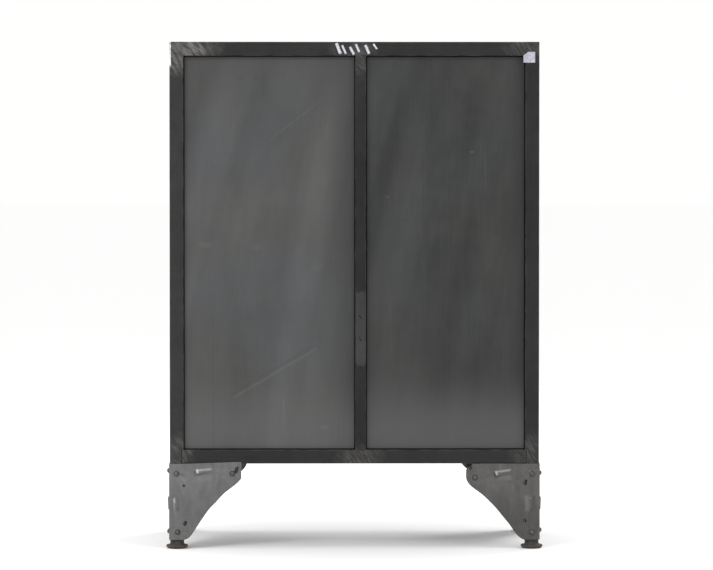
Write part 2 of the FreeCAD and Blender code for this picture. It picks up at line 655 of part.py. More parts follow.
# ---------------------------------------------------------------- sliding bolt on the left door
BX, BY = -LX, YB + 15.0
guides = []
for z in (965.0, 1075.0):
    g = prism(BX - 12, YB, z, BX + 12, YB + 3, z + 20, 1, 1.5).fuse(
        prism(BX - 7.5, YB, z + 1, BX + 7.5, BY + 7.5, z + 19, 2, 3.0)
    )
    guides.append(one(g.cut(cyl(BOLT_R + 0.3, 60, V(BX, BY, z - 20), V(0, 0, 1)))))
parts["bolt_guides"] = group(guides)
rod = spun(
    [
        (0, 955.0),
        (BOLT_R - 1, 955.0),
        (BOLT_R, 956.0),
        (BOLT_R, 985.0),
        (6.5, 985.0),
        (6.5, 990.0),
        (BOLT_R, 990.0),
        (BOLT_R, 1114.5),
        (BOLT_R - 2, 1117.0),
        (0, 1117.0),
    ],
    V(BX, BY, 0),
)
knob = cyl(3.0, 16.0, V(BX, BY + 1, 1030.0), V(0, 1, 0)).fuse(Part.makeSphere(5.5, V(BX, BY + 20, 1030.0)))
parts["bolt_rod"] = fuse(rod, knob)
keeper = box(BX - 14, -YI, 1126.0, BX + 14, -YI + 3, ROOF_IN + 26).fuse(box(BX - 14, -YI, 1126.0, BX + 14, BY + 11, 1129.0))
keeper = keeper.cut(cyl(BOLT_R + 0.6, 20, V(BX, BY, 1115.0), V(0, 0, 1)))
parts["bolt_keeper"] = one(keeper)

# ---------------------------------------------------------------- door stops
stops, bumpers = [], []
for s in (-1, 1):
    for z0, z1, zc in ((ROOF_IN - 17, ROOF_IN + 26, ROOF_IN - 10), (FLOOR_IN, FLOOR_IN + 20, FLOOR_IN + 11)):
        stops.append(prism(s * 60 - 14, -YI, z0, s * 60 + 14, -YI + 3, z1, 1, 2.0))
        bumpers.append(
            cyl(5.5, -YI - YB - 0.35, V(s * 60, YB + 0.35, zc), V(0, 1, 0))
        )
parts["door_stops"] = group(stops)
parts["door_bumpers"] = group(bumpers)

# ---------------------------------------------------------------- blank paper label on the back, at the top of the left post, one corner torn off
label_sheet = [(-410.4, 1131.2), (-394.7, 1131.3), (-388.5, 1128.6), (-384.0, 1124.4), (-384.2, 1107.2), (-410.6, 1106.6)]
label_edge = [V(x, YO, z) for x, z in label_sheet + label_sheet[:1]]
parts["label"] = Part.Face(Part.makePolygon(label_edge)).extrude(V(0, 0.3, 0))

# ---------------------------------------------------------------- write
for name in sorted(parts):
    shape = parts[name].copy()
    shape.translate(V(0, Y_SHIFT, 0))
    solids = shape.Solids
    bad = [i for i, s in enumerate(solids) if not s.isValid() or s.Volume <= 0]
    print("%-28s solids %2d  volume %10.1f%s" % (name, len(solids), sum(s.Volume for s in solids), "  BAD %s" % bad if bad else ""))
    out = solids[0] if len(solids) == 1 else Part.makeCompound(solids)
    out.exportStep("parts/%s.step" % name)
print(len(parts), "nodes")
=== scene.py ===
import json
import math
import random
import bmesh
import bpy
from mathutils import Matrix, Vector, noise as mnoise


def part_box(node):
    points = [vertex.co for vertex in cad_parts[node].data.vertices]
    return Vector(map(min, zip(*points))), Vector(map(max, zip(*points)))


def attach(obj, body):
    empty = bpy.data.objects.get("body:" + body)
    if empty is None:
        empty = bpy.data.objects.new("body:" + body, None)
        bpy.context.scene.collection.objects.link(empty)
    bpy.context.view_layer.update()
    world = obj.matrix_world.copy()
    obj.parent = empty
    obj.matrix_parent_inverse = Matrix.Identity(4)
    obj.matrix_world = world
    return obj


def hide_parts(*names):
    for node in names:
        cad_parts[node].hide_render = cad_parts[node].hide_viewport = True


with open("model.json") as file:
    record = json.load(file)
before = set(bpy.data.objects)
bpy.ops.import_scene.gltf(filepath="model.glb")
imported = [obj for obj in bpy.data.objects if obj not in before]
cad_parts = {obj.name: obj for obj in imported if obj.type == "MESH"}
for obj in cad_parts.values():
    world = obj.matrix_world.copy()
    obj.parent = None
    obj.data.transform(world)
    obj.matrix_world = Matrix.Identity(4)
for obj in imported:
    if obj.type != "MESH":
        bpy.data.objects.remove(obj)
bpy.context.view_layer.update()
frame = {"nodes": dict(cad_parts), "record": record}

RECORD = frame["record"]
NODES = frame["nodes"]
scene = bpy.context.scene


# ---------------------------------------------------------------- places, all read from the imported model
def lo(n):
    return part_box(n)[0]


def hi(n):
    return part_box(n)[1]


X_OUT = hi("post_rear_right").x            # outer faces of the posts
X_IN = lo("post_rear_right").x
Y_BACK = hi("post_rear_right").y           # rear plane of the frame
Y_FRONT = lo("post_front_right").y
Y_MID = (Y_BACK + Y_FRONT) / 2
Z_TOP = hi("post_caps").z
Z_CASE = lo("rail_rear_bottom").z          # underside of the case
Z_FLOOR = hi("rail_rear_bottom").z
Z_ROOF = lo("rail_rear_top").z
X_MID = (lo("post_rear_centre").x + hi("post_rear_centre").x) / 2

# ---------------------------------------------------------------- camera: square on to the back, a little above the middle
MM_PX = 0.0022735
DIST = 8.2
CAM_X, CAM_Z = 0.055, 0.906
LENS_DROP = 0.097                          # how much of the height is taken by lens shift, so that uprights stay nearly parallel
MID = (-0.0046, 264.5 * MM_PX)             # what the middle of the frame looks at, in the rear plane
cam_data = bpy.data.cameras.new("camera")
cam_data.sensor_width = 36.0
cam_data.lens = DIST / MM_PX * 36.0 / 713.0
cam_data.shift_y = -LENS_DROP / (713.0 * MM_PX)
cam_data.clip_end = 60
cam = bpy.data.objects.new("camera", cam_data)
scene.collection.objects.link(cam)
cam.location = (CAM_X, Y_BACK + DIST, CAM_Z)
look = Vector((MID[0], Y_BACK, MID[1] + LENS_DROP)) - cam.location
cam.rotation_euler = look.to_track_quat("-Z", "Y").to_euler()
scene.camera = cam
scene.view_settings.view_transform = "Standard"
scene.view_settings.look = "None"


# ---------------------------------------------------------------- node graphs
class Graph:
    """Builds a material's node graph with short calls. Every value is a float, a tuple or a socket."""

    def __init__(self, name):
        self.mat = bpy.data.materials.new(name)
        self.mat.use_nodes = True
        self.t = self.mat.node_tree
        self.t.nodes.clear()
        self.out = self.t.nodes.new("ShaderNodeOutputMaterial")
        self.bsdf = self.t.nodes.new("ShaderNodeBsdfPrincipled")
        self.t.links.new(self.bsdf.outputs[0], self.out.inputs[0])
        self.tc = self.t.nodes.new("ShaderNodeTexCoord")
        self.geo = self.t.nodes.new("ShaderNodeNewGeometry")
        self.p = self.tc.outputs["Object"]

    def put(self, socket, value):
        if isinstance(value, bpy.types.NodeSocket):
            self.t.links.new(value, socket)
        elif isinstance(value, (tuple, list)) and len(value) == 3 and len(socket.default_value) == 4:
            socket.default_value = (*value, 1.0)
        else:
            socket.default_value = value

    def math(self, op, a, b=None, c=None, clamp=False):
        n = self.t.nodes.new("ShaderNodeMath")
        n.operation = op
        n.use_clamp = clamp
        for s, v in zip(n.inputs, (a, b, c)):
            if v is not None:
                self.put(s, v)
        return n.outputs[0]

    def add(self, a, b): return self.math("ADD", a, b)
    def sub(self, a, b): return self.math("SUBTRACT", a, b)
    def mul(self, a, b): return self.math("MULTIPLY", a, b)

    def total(self, *vs):
        s = vs[0]
        for v in vs[1:]:
            s = self.add(s, v)
        return s

    def most(self, *vs):
        s = vs[0]
        for v in vs[1:]:
            s = self.math("MAXIMUM", s, v)
        return s

    def step(self, x, a, b, smooth=True):
        """0 below a, 1 above b (or the other way round if a > b)."""
        n = self.t.nodes.new("ShaderNodeMapRange")
        n.interpolation_type = "SMOOTHSTEP" if smooth else "LINEAR"
        flip = a > b
        if flip:
            a, b = b, a
        self.put(n.inputs["Value"], x)
        n.inputs["From Min"].default_value = a
        n.inputs["From Max"].default_value = b
        n.inputs["To Min"].default_value = 1.0 if flip else 0.0
        n.inputs["To Max"].default_value = 0.0 if flip else 1.0
        return n.outputs[0]

    def fit(self, x, a, b, c, d):
        n = self.t.nodes.new("ShaderNodeMapRange")
        self.put(n.inputs["Value"], x)
        for k, v in zip(("From Min", "From Max", "To Min", "To Max"), (a, b, c, d)):
            n.inputs[k].default_value = v
        return n.outputs[0]

    def map(self, scale=(1, 1, 1), rot=(0, 0, 0), loc=(0, 0, 0), vec=None):
        n = self.t.nodes.new("ShaderNodeMapping")
        self.put(n.inputs["Vector"], vec or self.p)
        n.inputs["Scale"].default_value = scale
        n.inputs["Rotation"].default_value = rot
        n.inputs["Location"].default_value = loc
        return n.outputs[0]

    def noise(self, vec, scale, detail=4.0, rough=0.5, distort=0.0):
        n = self.t.nodes.new("ShaderNodeTexNoise")
        self.put(n.inputs["Vector"], vec)
        n.inputs["Scale"].default_value = scale
        n.inputs["Detail"].default_value = detail
        n.inputs["Roughness"].default_value = rough
        n.inputs["Distortion"].default_value = distort
        return n.outputs["Fac"]

    def voronoi(self, vec, scale, feature="F1", rand=1.0):
        n = self.t.nodes.new("ShaderNodeTexVoronoi")
        n.feature = feature
        self.put(n.inputs["Vector"], vec)
        n.inputs["Scale"].default_value = scale
        n.inputs["Randomness"].default_value = rand
        return n.outputs["Distance"]

    def xyz(self, vec=None):
        n = self.t.nodes.new("ShaderNodeSeparateXYZ")
        self.put(n.inputs[0], vec or self.p)
        return n.outputs

    def vec(self, x, y, z):
        n = self.t.nodes.new("ShaderNodeCombineXYZ")
        for s, v in zip(n.inputs, (x, y, z)):
            self.put(s, v)
        return n.outputs[0]

    def ramp(self, fac, stops):
        n = self.t.nodes.new("ShaderNodeValToRGB")
        self.put(n.inputs[0], fac)
        el = n.color_ramp.elements
        while len(el) > 1:
            el.remove(el[-1])
        el[0].position, el[0].color = stops[0][0], (*stops[0][1], 1)
        for p, c in stops[1:]:
            e = el.new(p)
            e.color = (*c, 1)
        return n.outputs[0]

    def mix(self, fac, a, b, mode="MIX"):
        n = self.t.nodes.new("ShaderNodeMix")
        n.data_type = "RGBA"
        n.blend_type = mode
        n.clamp_factor = True
        self.put(n.inputs[0], fac)
        self.put(n.inputs[6], a)
        self.put(n.inputs[7], b)
        return n.outputs[2]

    def scale(self, colour, value):
        """A colour times a number."""
        n = self.t.nodes.new("ShaderNodeVectorMath")
        n.operation = "SCALE"
        self.put(n.inputs[0], colour)
        self.put(n.inputs["Scale"], value)
        return n.outputs[0]

    def line(self, a, b, width, soft=None, plane="xz", wobble=None):
        """1 on the segment a-b in the plane, fading to 0 at width."""
        x, y, z = self.xyz()
        u, w = (x, z) if plane == "xz" else (y, z)
        if wobble is not None:
            u = self.add(u, wobble)
        dx, dz = b[0] - a[0], b[1] - a[1]
        L = math.hypot(dx, dz)
        tx, tz = dx / L, dz / L
        pu, pw = self.sub(u, a[0]), self.sub(w, a[1])
        along = self.add(self.mul(pu, tx), self.mul(pw, tz))
        across = self.math("ABSOLUTE", self.sub(self.mul(pw, tx), self.mul(pu, tz)))
        end = self.math("MAXIMUM", self.sub(along, L), self.mul(along, -1.0))
        d = self.math("MAXIMUM", across, end)
        return self.step(d, width, width * (soft if soft is not None else 0.3))

    def spot(self, c, rx, rz, soft=0.5, plane="xz", warp=0.0, warp_scale=60):
        """1 inside an ellipse, fading outwards, its edge broken up by noise."""
        x, y, z = self.xyz()
        u, w = (x, z) if plane == "xz" else ((y, z) if plane == "yz" else (x, y))
        a = self.mul(self.sub(u, c[0]), 1.0 / rx)
        b = self.mul(self.sub(w, c[1]), 1.0 / rz)
        d = self.math("SQRT", self.add(self.mul(a, a), self.mul(b, b)))
        if warp:
            d = self.add(d, self.mul(self.sub(self.noise(self.p, warp_scale, 3), 0.5), warp))
        return self.step(d, 1.0 + soft * 0.5, 1.0 - soft * 0.5)

    def bump(self, height, distance, strength=1.0, normal=None):
        n = self.t.nodes.new("ShaderNodeBump")
        n.inputs["Strength"].default_value = strength
        n.inputs["Distance"].default_value = distance
        self.put(n.inputs["Height"], height)
        if normal is not None:
            self.put(n.inputs["Normal"], normal)
        return n.outputs[0]

    def finish(self, colour, rough, metal=None, normal=None, **sockets):
        self.put(self.bsdf.inputs["Base Color"], colour)
        self.put(self.bsdf.inputs["Roughness"], rough)
        if metal is not None:
            self.put(self.bsdf.inputs["Metallic"], metal)
        if normal is not None:
            self.put(self.bsdf.inputs["Normal"], normal)
        for k, v in sockets.items():
            self.bsdf.inputs[k.replace("_", " ")].default_value = v
        return self.mat


def srgb(v):
    v /= 255.0
    return v / 12.92 if v <= 0.04045 else ((v + 0.055) / 1.055) ** 2.4


def grey(v, warm=0.0):
    """A near-neutral colour from a brightness of 0 to 255."""
    c = srgb(v)
    return (c * (1 + warm), c, c * (1 - warm))


def edges(g, a=0.97, b=0.8):
    """1 on the rounded edges of a square tube or a folded sheet, where the face turns away from every axis."""
    n = g.t.nodes.new("ShaderNodeVectorMath")
    n.operation = "ABSOLUTE"
    g.put(n.inputs[0], g.tc.outputs["Normal"])
    x, y, z = g.xyz(n.outputs[0])
    return g.step(g.most(x, y, z), a, b)


def facing_back(g):
    """1 on faces that look towards +Y."""
    x, y, z = g.xyz(g.tc.outputs["Normal"])
    return g.step(y, 0.35, 0.7)


def strokes(g, angle, fine, along, thresh, seed, soft=0.12):
    """Grinding or brushing marks that run at an angle in the X-Z plane."""
    v = g.map(rot=(0, math.radians(angle), 0), loc=(seed * 0.37, 0.0, seed * 0.71))
    v = g.map(scale=(along, 1.0, fine), vec=v)
    return g.step(g.noise(v, 1.0, 3.0, 0.6, 0.2), thresh, thresh + soft)


# Paint-stick dashes on the top rail and ground weld patches: (x, z, half width, half height, strength)
PATCHES = [
    (X_OUT - 0.028, Z_TOP - 0.022, 0.062, 0.044, 1.0),
    (X_OUT - 0.070, Z_TOP - 0.014, 0.042, 0.022, 0.6),
    (-X_OUT + 0.030, Z_TOP - 0.018, 0.046, 0.026, 0.42),
    (X_OUT - 0.022, Z_CASE + 0.022, 0.026, 0.040, 0.50),
    (-X_OUT + 0.024, Z_CASE + 0.026, 0.040, 0.038, 0.30),
    (X_MID, Z_CASE + 0.014, 0.050, 0.026, 0.36),
    (X_MID, Z_TOP - 0.036, 0.030, 0.038, 0.36),
    (X_MID + 0.055, Z_TOP - 0.020, 0.020, 0.014, 0.2),
]
DASHES = [      # (from, to, half width): short slanting dabs of a white paint stick, no letters
    ((0.0400, 1.1480), (0.0330, 1.1300), 0.0042),
    ((0.0270, 1.1440), (0.0205, 1.1290), 0.0030),
    ((0.0090, 1.1400), (0.0025, 1.1275), 0.0036),
    ((-0.0040, 1.1465), (-0.0100, 1.1330), 0.0030),
    ((-0.0260, 1.1440), (-0.0320, 1.1295), 0.0038),
    ((-0.0440, 1.1475), (-0.0500, 1.1390), 0.0026),
]


def frame_steel(name, grain, base=50, spread=7, seed=0.0, patches=False, dashes=False, centre=False, lit=1.0):
    """Square tube, rolled finish darkened with oil: fine draw lines along the tube, cloudy patina, and bright ground patches where it was welded."""
    g = Graph(name)
    off = (seed * 1.7, seed * 2.3, seed * 0.9)
    big = g.noise(g.map(loc=off), 5.5, 5, 0.55, 0.4)
    mid = g.noise(g.map(loc=off), 34, 5, 0.6, 0.2)
    sc = {"z": (230, 230, 5.0), "x": (5.0, 230, 230), "y": (230, 5.0, 230)}[grain]
    line = g.noise(g.map(scale=sc, loc=off), 1.0, 4, 0.65)
    fine = g.noise(g.map(loc=off), 520, 3, 0.75)
    grit = g.noise(g.map(loc=(off[1], off[2], off[0])), 190, 4, 0.75)
    tone = g.total(g.mul(big, 0.30), g.mul(mid, 0.24), g.mul(line, 0.20), g.mul(fine, 0.10), g.mul(grit, 0.16))
    tone = g.step(tone, 0.40, 0.60, smooth=False)
    col = g.mix(tone, grey(base - spread, -0.01), grey(base + spread, 0.0))
    # brown oxide that gathers in spots
    rust = g.mul(g.step(g.noise(g.map(loc=(off[0], 4.0, off[2])), 22, 6, 0.7, 0.5), 0.60, 0.74), 0.5)
    col = g.mix(rust, col, (srgb(base + 10), srgb(base + 2), srgb(base - 10)))
    # worn corners, brighter in broken lengths
    worn = g.mul(edges(g), g.step(mid, 0.40, 0.62))
    col = g.mix(g.mul(worn, 0.35), col, grey(base + 62))
    r = g.fit(g.total(g.mul(mid, 0.5), g.mul(fine, 0.2), g.mul(line, 0.3)), 0.3, 0.7, 0.46, 0.66)
    height = g.total(g.mul(line, 0.5), g.mul(fine, 0.3), g.mul(mid, 0.6))
    if patches:
        x, y, z = g.xyz()
        back = g.step(y, Y_BACK - 0.006, Y_BACK - 0.002)
        ground = None
        for cx, cz, rx, rz, k in PATCHES:
            m = g.mul(g.spot((cx, cz), rx, rz, 0.9, warp=0.9, warp_scale=70), k)
            ground = m if ground is None else g.most(ground, m)
        ground = g.mul(ground, back)
        brush = g.add(g.mul(strokes(g, 58, 190, 26, 0.44, seed + 3, 0.2), 0.6), g.mul(strokes(g, 36, 420, 44, 0.48, seed + 9), 0.4))
        brush = g.mul(brush, g.fit(mid, 0.35, 0.6, 0.55, 1.1))
        shine = g.mix(brush, grey(62, 0.05), grey(122, 0.03))
        col = g.mix(g.mul(ground, 0.95), col, shine)
        height = g.add(height, g.mul(g.mul(brush, ground), 1.6))
        # the corner of the post at its top end, rubbed bare and painted near white: a painted highlight along the
        # corner
        rub = g.mul(g.step(x, X_OUT - 0.0040, X_OUT - 0.0022), g.step(z, Z_TOP - 0.060, Z_TOP - 0.050))
        rub = g.mul(rub, g.mul(g.step(mid, 0.36, 0.46), g.step(y, Y_BACK - 0.0065, Y_BACK - 0.0040)))
        col = g.mix(rub, col, grey(232))
        # seams of the ground welds
        for sx, k in ((X_OUT - 0.0268, 0.75), (-X_OUT + 0.0290, 0.75)):
            seam = g.mul(g.line((sx, Z_CASE + 0.001), (sx, Z_CASE + 0.036), 0.0012, 0.3), g.mul(back, k))
            col = g.mix(seam, col, grey(26))
    if centre:
        x, y, z = g.xyz()
        ragged = g.mul(g.sub(g.noise(g.map(scale=(1, 1, 0.4)), 120, 3, 0.6), 0.5), 0.05)
        zz = g.add(z, ragged)
        bare = g.mul(g.mul(g.step(zz, 0.416, 0.426), g.step(zz, 0.586, 0.576)), g.step(g.add(x, g.mul(ragged, 0.10)), X_MID + 0.0122, X_MID + 0.0100))
        col = g.mix(g.mul(bare, 0.72), col, g.mix(tone, grey(58, 0.005), grey(74, 0.005)))
        for cz in (0.5285, 0.4780):
            col = g.mix(g.line((X_MID - 0.0015, cz - 0.0035), (X_MID + 0.0030, cz + 0.0035), 0.0014, 0.4), col, grey(18))
    if dashes:
        paint = None
        rag = g.sub(g.noise(g.map(loc=(3, 0, 0)), 380, 4, 0.7), 0.5)
        for a, b, w in DASHES:
            m = g.line(a, b, w, 0.45, wobble=g.mul(rag, 0.003))
            paint = m if paint is None else g.most(paint, m)
        x, y, z = g.xyz()
        grainy = g.noise(g.map(rot=(0, 0.9, 0), scale=(300, 300, 900)), 1.0, 3, 0.7)
        thin = g.step(g.add(grainy, g.mul(rag, 0.5)), 0.34, 0.56)
        paint = g.mul(g.mul(paint, g.fit(thin, 0, 1, 0.25, 1.0)), g.step(y, Y_BACK - 0.004, Y_BACK - 0.001))
        col = g.mix(paint, col, (srgb(222), srgb(222), srgb(232)))
        r = g.add(r, g.mul(paint, 0.25))
        height = g.add(height, g.mul(paint, 1.2))
    if lit != 1.0:
        col = g.scale(col, lit)
    return g.finish(col, r, 0.8, g.bump(height, 0.0005, 0.4), Specular_IOR_Level=0.35)


def panel_steel(name, base, seed, plane="xz", gradient=(), marks=None, lean=0.0, grain="z"):
    """Flat cold-rolled sheet, waxed: wide soft clouds and wipe marks, a low haze of fine grain, light scratches."""
    g = Graph(name)
    off = (seed * 1.7, seed * 2.3, seed * 0.9)
    x, y, z = g.xyz()
    u = {"xz": x, "yz": y, "xy": x}[plane]
    w = {"xz": z, "yz": z, "xy": y}[plane]
    face = g.vec(u, 0.0, w)
    wipe = g.noise(g.map(rot=(0, math.radians(lean), 0), scale=(3.4, 1, 1.0), loc=off, vec=face), 1.0, 4, 0.5, 0.5)
    wipe2 = g.noise(g.map(rot=(0, math.radians(-35 + lean), 0), scale=(9.0, 1, 1.7), loc=off, vec=face), 1.0, 4, 0.55, 0.3)
    cloud = g.noise(g.map(loc=off), 3.2, 5, 0.55, 0.5)
    mottle = g.noise(g.map(loc=off), 26, 5, 0.62, 0.2)
    sc = (300, 300, 6.0) if grain == "z" else (6.0, 6.0, 300)
    line = g.noise(g.map(scale=sc, loc=off), 1.0, 3, 0.6)
    fine = g.noise(g.map(loc=off), 560, 3, 0.75)
    sweepy = g.map(rot=(0, math.radians(lean - 12), 0), scale=(13.0, 1, 1.1), loc=(off[2], off[0], off[1]), vec=g.vec(g.add(u, g.mul(g.mul(w, w), 0.16)), 0.0, w))
    wipe3 = g.noise(sweepy, 1.0, 3, 0.5, 0.25)
    tone = g.total(g.mul(wipe, 0.20), g.mul(wipe2, 0.15), g.mul(wipe3, 0.22), g.mul(cloud, 0.20), g.mul(mottle, 0.09), g.mul(line, 0.08), g.mul(fine, 0.06))
    tone = g.step(tone, 0.40, 0.60, smooth=False)
    tint = g.step(g.noise(g.map(loc=(off[0], off[0], off[0])), 4.5, 3, 0.5, 0.4), 0.45, 0.62)
    col = g.mix(tone, g.mix(tint, grey(base - 12, 0.012), grey(base - 12, -0.02)), g.mix(tint, grey(base + 9, 0.008), grey(base + 9, -0.02)))
    for fac, value in gradient(g, u, w) if gradient else ():
        col = g.mix(fac, col, value)
    # fine hairline scratches, mostly upright or leaning
    hair = None
    for ang, thr, sd in ((12, 0.70, 1), (-24, 0.72, 5), (74, 0.73, 8)):
        v = g.map(rot=(0, math.radians(ang), 0), vec=face, loc=(seed + sd, 0, sd * 2.3))
        v = g.map(scale=(620, 1, 7.0), vec=v)
        m = g.step(g.noise(v, 1.0, 2.0, 0.5), thr, thr + 0.05)
        hair = m if hair is None else g.add(hair, m)
    col = g.mix(g.mul(hair, 0.14), col, grey(min(255, base + 40)))
    height = g.total(g.mul(line, 0.25), g.mul(fine, 0.2), g.mul(mottle, 0.35), g.mul(hair, -0.5))
    swell = g.noise(g.map(loc=(off[1], off[0], off[2])), 5.0, 2, 0.5)
    if marks:
        for m, value, k, h in marks(g):
            col = g.mix(g.mul(m, k), col, grey(value))
            if h:
                height = g.add(height, g.mul(m, h))
    r = g.fit(g.total(g.mul(mottle, 0.45), g.mul(wipe, 0.3), g.mul(fine, 0.25)), 0.3, 0.7, 0.44, 0.6)
    n = g.bump(swell, 0.004, 0.35)
    n = g.bump(height, 0.0004, 0.35, n)
    return g.finish(col, r, 0.8, n, Specular_IOR_Level=0.35)


def P(x, y):
    """A place on the back face from where it lies across and down the framed view."""
    return ((354.3 - x) * MM_PX, (549.5 - y) * MM_PX)


def left_marks(g):
    """Handling marks on the wide rear panel: (mask, brightness, strength, height). The crease low down is a dark line
    with a bright line beside it: painted shade and a painted highlight.
    """
    wob = g.mul(g.sub(g.noise(g.p, 60, 2), 0.5), 0.004)
    broken = g.step(g.noise(g.p, 90, 3), 0.36, 0.56)
    return [
        (g.mul(g.line(P(268, 141), P(320, 101), 0.0009, 0.2, wobble=wob), broken), 120, 0.30, -0.5),
        # the crease: painted shade along the dark line, a painted highlight along the bright line below it
        (g.line(P(232, 395), P(313, 347), 0.0060, 0.05, wobble=wob), 66, 0.16, -3.0),
        (g.line(P(234, 398), P(315, 350), 0.0040, 0.05, wobble=wob), 112, 0.16, 2.0),
        (g.mul(g.line(P(212.7, 312), P(212.7, 448), 0.0014, 0.2), broken), 60, 0.35, -0.8),
        (g.mul(g.line(P(343, 368), P(337, 448), 0.0012, 0.2), broken), 62, 0.35, -0.8),
        (g.spot(P(205, 245), 0.014, 0.006, 1.6, warp=1.6), 110, 0.16, 2.5),
        (g.spot(P(257, 247), 0.012, 0.007, 1.6, warp=1.6), 108, 0.14, 2.5),
        (g.spot(P(317, 268), 0.012, 0.009, 1.6, warp=1.6), 104, 0.14, 2.5),
        (g.spot(P(240, 78), 0.0050, 0.0045, 1.2, warp=0.8), 62, 0.28, -1.0),
        (g.spot(P(255, 78), 0.0055, 0.0045, 1.2, warp=0.8), 62, 0.28, -1.0),
        (g.line(P(283, 400), P(284, 425), 0.0030, 0.1), 112, 0.16, 0.8),
        (g.spot(P(325, 428), 0.008, 0.005, 1.4, warp=1.2), 110, 0.2, 0.8),
    ]


def right_marks(g):
    return [
        (g.spot(P(472, 152), 0.0040, 0.0032, 1.0, warp=0.6), 100, 0.30, 1.0),
        (g.line(P(485, 152), P(485.5, 182), 0.0022, 0.1), 90, 0.18, 0.8),
        (g.spot(P(387, 197), 0.0045, 0.0036, 1.0, warp=0.6), 94, 0.22, 1.0),
        (g.line(P(420, 150), P(404, 215), 0.0100, 0.05), 80, 0.12, 1.0),
    ]


def left_gradient(g, u, w):
    """Painted shade by the centre post and painted shadow under the top rail; darker towards the top, paler towards the
    bottom.
    """
    a = hi("post_rear_centre").x
    return [
        # painted shade beside the centre post
        (g.mul(g.step(u, a + 0.095, a + 0.004), 0.55), grey(54)),
        (g.mul(g.step(w, 0.40, 0.26), 0.38), grey(102)),
        (g.mul(g.step(w, 0.95, 1.12), 0.4), grey(74)),
        # painted shadow under the top rail
        (g.mul(g.step(w, Z_ROOF - 0.012, Z_ROOF - 0.002), 0.4), grey(56)),
    ]


def right_gradient(g, u, w):
    # Painted shade beside the stile on the -X side and painted shadow under the top rail; paler towards the bottom.
    return [
        (g.mul(g.step(u, -X_IN + 0.050, -X_IN + 0.002), 0.45), grey(48)),
        (g.mul(g.step(w, 0.42, 0.26), 0.70), grey(90)),
        (g.mul(g.step(w, Z_ROOF - 0.012, Z_ROOF - 0.002), 0.4), grey(50)),
    ]


def L(side, u, v):
    """A place on a rear leg, in mm inwards from its outer edge and down from the case; side is +1 or -1 along X."""
    return (side * (X_OUT + 0.0020 - u / 1000), Z_CASE - v / 1000)


def leg_steel(name, base, warm, seed, darker_low=0.0, painted_crest_highlights=(), painted_hollow_shade=()):
    """Pressed sheet, galvanised and then painted over and rubbed back: an even, slightly milky grey with small wipes and rub marks."""
    g = Graph(name)
    off = (seed * 1.7, seed * 2.3, seed * 0.9)
    big = g.noise(g.map(loc=off), 11, 4, 0.5, 0.5)
    smear = g.noise(g.map(rot=(0, math.radians(40), 0), scale=(70, 30, 18), loc=off), 1.0, 4, 0.55, 0.4)
    mid = g.noise(g.map(loc=off), 70, 5, 0.6, 0.2)
    fine = g.noise(g.map(loc=off), 620, 3, 0.75)
    tone = g.total(g.mul(big, 0.4), g.mul(smear, 0.3), g.mul(mid, 0.2), g.mul(fine, 0.1))
    tone = g.step(tone, 0.36, 0.64, smooth=False)
    col = g.mix(tone, grey(base - 13, warm), grey(base + 11, warm * 0.6))
    x, y, z = g.xyz()
    # grey wipes round the rivets, where the sheet was dressed by hand
    for cz in (Z_CASE - 0.026, Z_CASE - 0.156):
        ring = g.mul(g.step(g.math("ABSOLUTE", g.sub(z, cz)), 0.040, 0.008), g.step(g.noise(g.map(loc=off, scale=(1, 1, 1.5)), 85, 4, 0.65, 0.6), 0.44, 0.62))
        col = g.mix(g.mul(ring, 0.22), col, grey(base + 26, warm))
    if darker_low:
        col = g.mix(g.mul(g.step(z, Z_CASE - 0.05, 0.03), darker_low), col, grey(base - 26, warm * 1.6))
    # small rub marks and specks of rust
    rub = g.step(g.noise(g.map(rot=(0, math.radians(-30), 0), scale=(160, 60, 30), loc=(off[2], 0, off[0])), 1.0, 3, 0.6), 0.62, 0.74)
    col = g.mix(g.mul(rub, 0.3), col, grey(base + 34, warm))
    speck = g.step(g.noise(g.map(loc=(off[1], 2, 0)), 150, 4, 0.7), 0.66, 0.75)
    col = g.mix(g.mul(speck, 0.45), col, (srgb(base - 22), srgb(base - 32), srgb(base - 44)))
    worn = g.mul(edges(g), g.step(mid, 0.42, 0.6))
    col = g.mix(g.mul(worn, 0.3), col, grey(base + 45, warm))
    r = g.fit(g.add(g.mul(mid, 0.6), g.mul(fine, 0.4)), 0.3, 0.7, 0.5, 0.66)
    # the raised darts: painted highlights along their crests, which are also made less rough as if polished, and
    # painted shade in the hollows beside them
    back = g.step(y, Y_BACK - 0.004, Y_BACK - 0.001)
    for a, b, w, value, k in painted_hollow_shade:
        col = g.mix(g.mul(g.mul(g.line(a, b, w, 0.05), back), k), col, grey(value, warm))
    for a, b, w, value, k in painted_crest_highlights:
        m = g.mul(g.mul(g.line(a, b, w, 0.1), back), g.fit(mid, 0.35, 0.6, 0.7, 1.0))
        col = g.mix(g.mul(m, k), col, grey(value, warm * 0.4))
        r = g.sub(r, g.mul(m, 0.12 * k))
    height = g.total(g.mul(mid, 0.5), g.mul(fine, 0.25), g.mul(smear, 0.35))
    n = g.bump(big, 0.003, 0.25)
    return g.finish(col, r, 0.65, g.bump(height, 0.0004, 0.35, n), Specular_IOR_Level=0.4)


